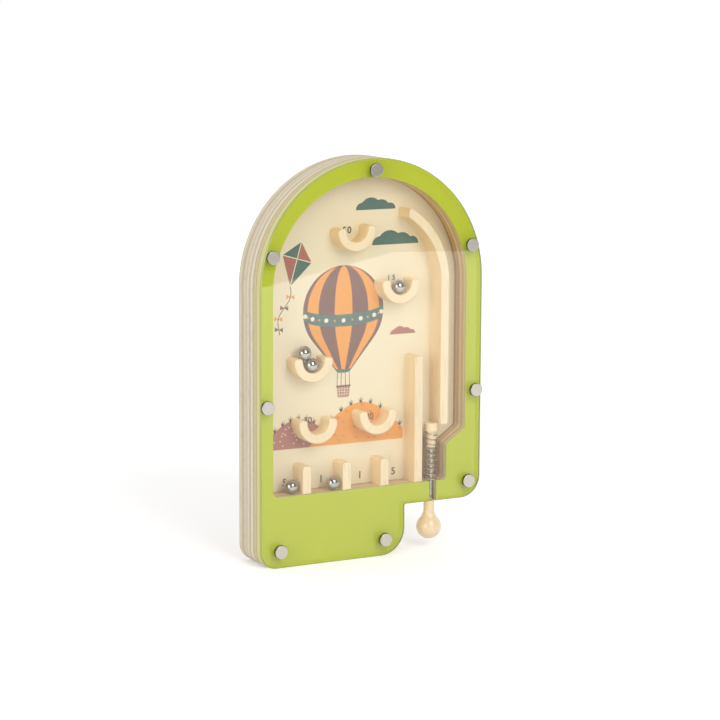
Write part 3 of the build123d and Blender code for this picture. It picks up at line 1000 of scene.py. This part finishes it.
def flecks(name, outline, level, ink, **values):
    """Marks of ink strewn inside an outline."""
    thick = level * INK_STEP
    ground = bpy.data.meshes.new(name + "_ground")
    corners = [place(x, z, PLAYFIELD - thick / 2) for x, z in outline]
    ground.from_pydata(corners, [], [range(len(corners))])
    values.update({"Thick": thick, "Finish": INKS[ink]})
    mesh = grown_mesh(name, FLECKS, values, ground)
    finish_piece(name, mesh, INKS[ink], "board")


def hills():
    """Two grassy hills, one dotted and one with short strokes."""
    printed("left_hill", [hill(*LEFT_HILL)], "rose")
    grass("left_hill_grass", *LEFT_HILL, "plum", 2)
    printed("right_hill", [hill(*RIGHT_HILL)], "orange", 3)
    grass("right_hill_grass", *RIGHT_HILL, "teal", 4)
    dots = {"Density": 60000.0, "Long": 1.1 * MM, "Wide": 1.1 * MM, "Seed": 3}
    flecks("left_hill_dots", hill(*LEFT_HILL_DOTTED, HILL_MARGIN), 2, "milk", **dots)
    strokes = {"Density": 60000.0, "Long": 3.0 * MM, "Wide": 0.8 * MM, "Turn": 0.9, "Seed": 7}
    flecks("right_hill_strokes", hill(*RIGHT_HILL, HILL_MARGIN), 4, "rose", **strokes)


FLECKS = fleck_tree()

cover_sheet()
spring()
balloon()
basket()
kite()
hills()
cloud("high_cloud", 107.0, 262.0, 34.0, "teal")
cloud("large_cloud", 124.0, 235.0, 40.0, "teal")
cloud("small_cloud", 131.0, 166.0, 22.0, "rose")

number("score_cup_1", "50", 82.7, 247.6, 5.2, 1.12)
number("score_cup_2", "15", 121.0, 209.8, 4.0, 1.6)
number("score_cup_3", "25", 47.5, 152.0)
number("score_cup_4", "10", 50.7, 105.6, 5.2)
number("score_cup_5", "20", 102.6, 104.6, 5.2)
number("score_lane_1", "5", 30.5, 59.9)
number("score_lane_2", "1", 61.2, 59.9)
number("score_lane_3", "1", 94.5, 59.8)
number("score_lane_4", "5", 123.4, 60.0)


# Studio


def studio_floor():
    """Pale floor whose stepped front edge the cover mirrors."""
    side, back = 6.0, 7.0
    front = [(-side, -1.45), (0.61, -1.45), (0.97, -1.735), (1.09, -1.69), (side, -1.69)]
    corners = [(x, y, 0) for x, y in front + [(side, back), (-side, back)]]
    mesh = bpy.data.meshes.new("studio_floor")
    mesh.from_pydata(corners, [], [range(len(corners))])
    floor = bpy.data.objects.new("studio_floor", mesh)
    bpy.context.scene.collection.objects.link(floor)
    material, tree, shader, _ = new_material("studio_floor")
    point = object_point(tree)
    mottled = add(tree, "TexNoise", {"Vector": point, "Scale": 3.0}).outputs["Fac"]
    colour = mix_colour(tree, mottled, (0.86, 0.86, 0.86), (0.84, 0.84, 0.84))
    put(tree, shader.inputs["Base Color"], colour)
    shader.inputs["Roughness"].default_value = 0.9
    shader.inputs["Specular IOR Level"].default_value = 0.0
    path = add(tree, "LightPath").outputs
    seen = math_node(tree, "MAXIMUM", path["Is Camera Ray"], path["Is Transmission Ray"])
    seen = math_node(tree, "MAXIMUM", seen, path["Is Glossy Ray"])
    away = vector_node(tree, "LENGTH", point)["Value"]
    glow = {"From Min": 0.25, "From Max": 1.6, "To Min": 0.3, "To Max": 0.55}
    far = add(tree, "MapRange", {"Value": away, **glow}).outputs[0]
    put(tree, shader.inputs["Emission Color"], WHITE)
    put(tree, shader.inputs["Emission Strength"], math_node(tree, "MULTIPLY", seen, far))
    mesh.materials.append(material)


def studio_world():
    """White background behind the object, a darker room in front of it, even light for the rest."""
    dark_room = (0.13, 0.126, 0.12)
    even_light = (0.75, 0.75, 0.75)
    world = bpy.data.worlds.new("studio")
    bpy.context.scene.world = world
    world.use_nodes = True
    tree = world.node_tree
    tree.nodes.clear()
    path = add(tree, "LightPath").outputs
    direction = add(tree, "TexCoord").outputs["Generated"]
    ahead = add(tree, "SeparateXYZ", {"Vector": direction}).outputs["Y"]
    behind = add(tree, "MapRange", {"Value": ahead, "From Min": -0.35, "From Max": -0.05}).outputs[0]
    mirrored = mix_colour(tree, behind, dark_room, WHITE)
    sharp = math_node(tree, "MAXIMUM", path["Is Glossy Ray"], path["Is Transmission Ray"])
    colour = mix_colour(tree, sharp, even_light, mirrored)
    colour = mix_colour(tree, path["Is Camera Ray"], colour, WHITE)
    background = add(tree, "Background", {"Color": colour, "Strength": 1.0})
    output = add(tree, "OutputWorld")
    tree.links.new(background.outputs[0], output.inputs[0])


def softbox(name, azimuth, elevation, radiance):
    """Upright lamp that faces the middle of the object; azimuth 0 is in front of it."""
    distance, wide, tall = 2.6, 1.17, 1.63
    aim = Vector((0, 0, 0.15))
    lamp = bpy.data.lights.new(name, "AREA")
    lamp.shape = "RECTANGLE"
    lamp.size = wide
    lamp.size_y = tall
    lamp.energy = math.pi * wide * tall * radiance
    lamp.color = (1.0, 0.985, 0.96)
    holder = bpy.data.objects.new(name, lamp)
    around, up = math.radians(azimuth), math.radians(elevation)
    level = math.cos(up)
    outward = Vector((math.sin(around) * level, -math.cos(around) * level, math.sin(up)))
    holder.location = aim + outward * distance
    holder.rotation_euler = outward.to_track_quat("Z", "Y").to_euler()
    bpy.context.scene.collection.objects.link(holder)
    holder.visible_camera = False


def camera():
    """Camera at the photograph's place and angle."""
    stand = Matrix.Translation((-0.85905, -1.5990, 0.4452))
    azimuth, elevation, roll = math.radians(-28.18), math.radians(9.27), math.radians(0.29)
    data = bpy.data.cameras.new("camera")
    data.sensor_width = 36.0
    data.lens = 121.86
    data.clip_end = 50.0
    eye = bpy.data.objects.new("camera", data)
    turn = Matrix.Rotation(azimuth, 4, "Z") @ Matrix.Rotation(math.pi / 2 - elevation, 4, "X")
    eye.matrix_world = stand @ turn @ Matrix.Rotation(roll, 4, "Z")
    bpy.context.scene.collection.objects.link(eye)
    bpy.context.scene.camera = eye


studio_floor()
studio_world()
softbox("softbox_right", 3.0, 29.0, 4.2)
softbox("softbox_left", -61.0, 8.0, 3.0)
camera()
bpy.context.scene.view_settings.view_transform = "Standard"
